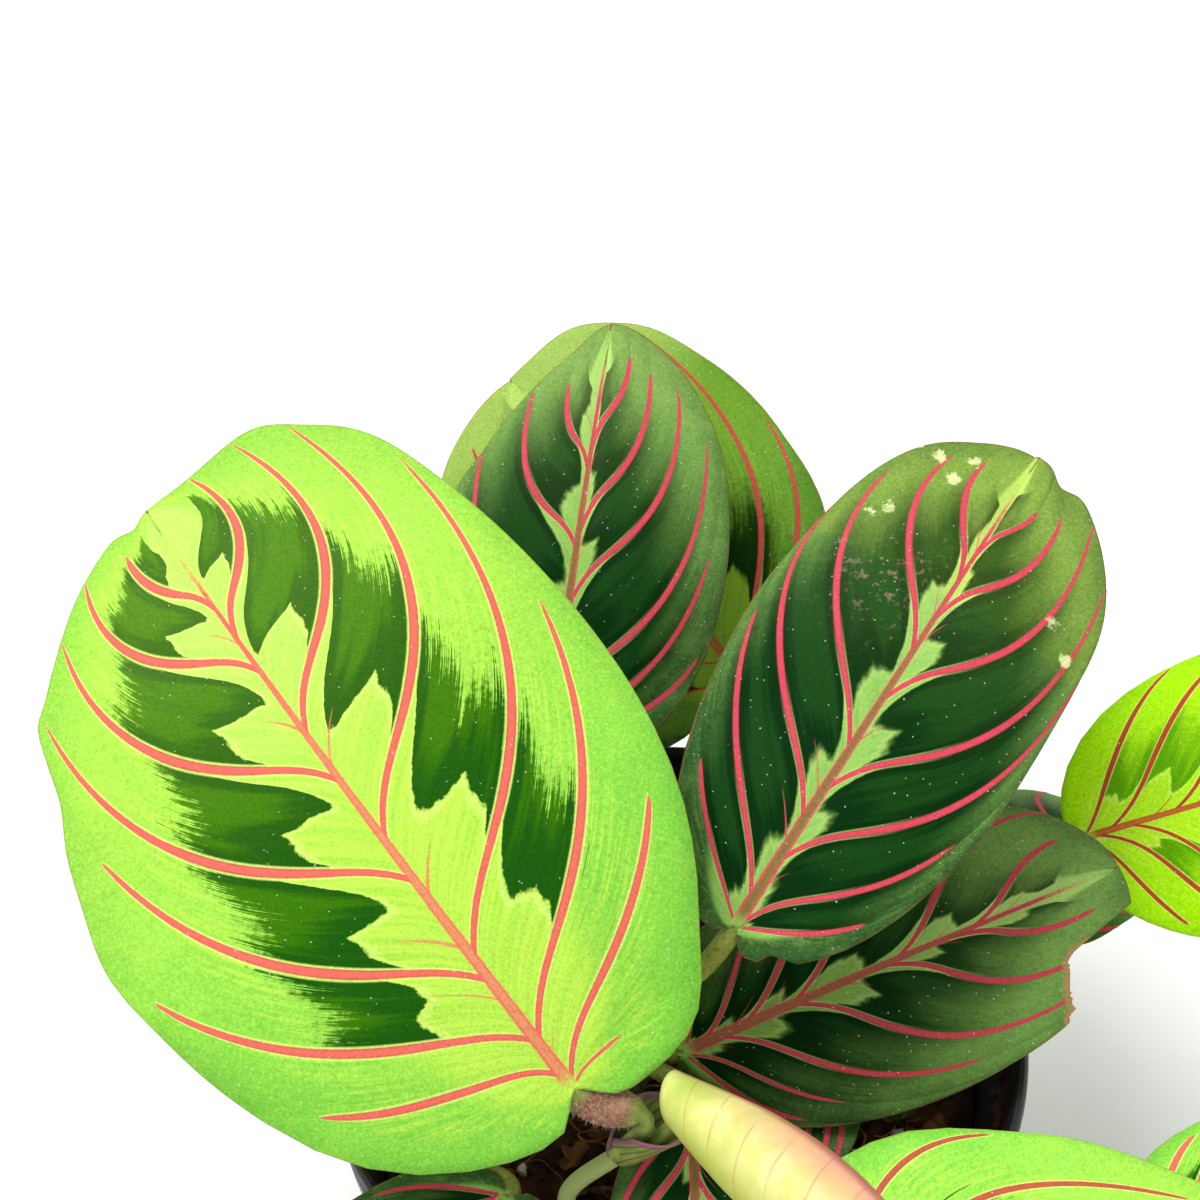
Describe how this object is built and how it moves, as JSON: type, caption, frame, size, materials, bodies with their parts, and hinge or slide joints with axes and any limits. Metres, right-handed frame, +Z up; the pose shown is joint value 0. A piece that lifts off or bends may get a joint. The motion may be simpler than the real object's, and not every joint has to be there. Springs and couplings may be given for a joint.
{
  "type": "potted prayer plant",
  "caption": "Young prayer plant with broad oval leaves, dark blotches and pink veins, growing in a round black plastic nursery pot of potting mix.",
  "frame": {"origin": "middle of the pot's flat floor, on the surface that the pot stands on", "axes": "+Z up; -Y towards the front of the plant, where the largest leaf starts; +X to the right seen from the front"},
  "size_m": [0.2587, 0.2432, 0.1971],
  "materials": {
    "pot_plastic": "satin black moulded plastic, lightly scuffed",
    "potting_mix": "dry brown bark and peat crumbs with a few white perlite grains",
    "green_stem": "smooth pale green, flushed pink at the sheath",
    "bright_leaf": "satin bright green with dark green blotches and coral pink veins",
    "dark_leaf": "velvety dark green with a light feathered middle and crimson pink veins",
    "lime_leaf": "satin yellow green with brown red veins",
    "new_leaf": "cream yellow, rolled up, with pink veins and edge"
  },
  "bodies": {
    "root": {"leaf_back_left_low": "dark_leaf", "leaf_back_low": "dark_leaf", "leaf_back_middle": "dark_leaf", "leaf_back_right_low": "bright_leaf", "leaf_back_right_upper": "dark_leaf", "leaf_back_tall": "lime_leaf", "leaf_front_large": "bright_leaf", "leaf_front_left_low": "dark_leaf", "leaf_front_left_under": "dark_leaf", "leaf_front_low": "dark_leaf", "leaf_front_right": "bright_leaf", "leaf_front_right_low": "dark_leaf", "leaf_front_right_outer": "bright_leaf", "leaf_furled": "new_leaf", "leaf_left_low": "lime_leaf", "leaf_middle_low": "dark_leaf", "leaf_right_large": "dark_leaf", "leaf_right_low": "dark_leaf", "leaf_right_lower": "dark_leaf", "leaf_right_outer": "lime_leaf", "pot": "pot_plastic", "shoot_back_left": "green_stem", "shoot_back_right": "green_stem", "shoot_front": "green_stem", "shoot_front_left": "green_stem", "shoot_front_middle": "green_stem", "shoot_front_right": "green_stem", "shoot_left": "green_stem", "shoot_middle": "green_stem", "shoot_right": "green_stem", "soil": "potting_mix"}
  },
  "joints": []
}
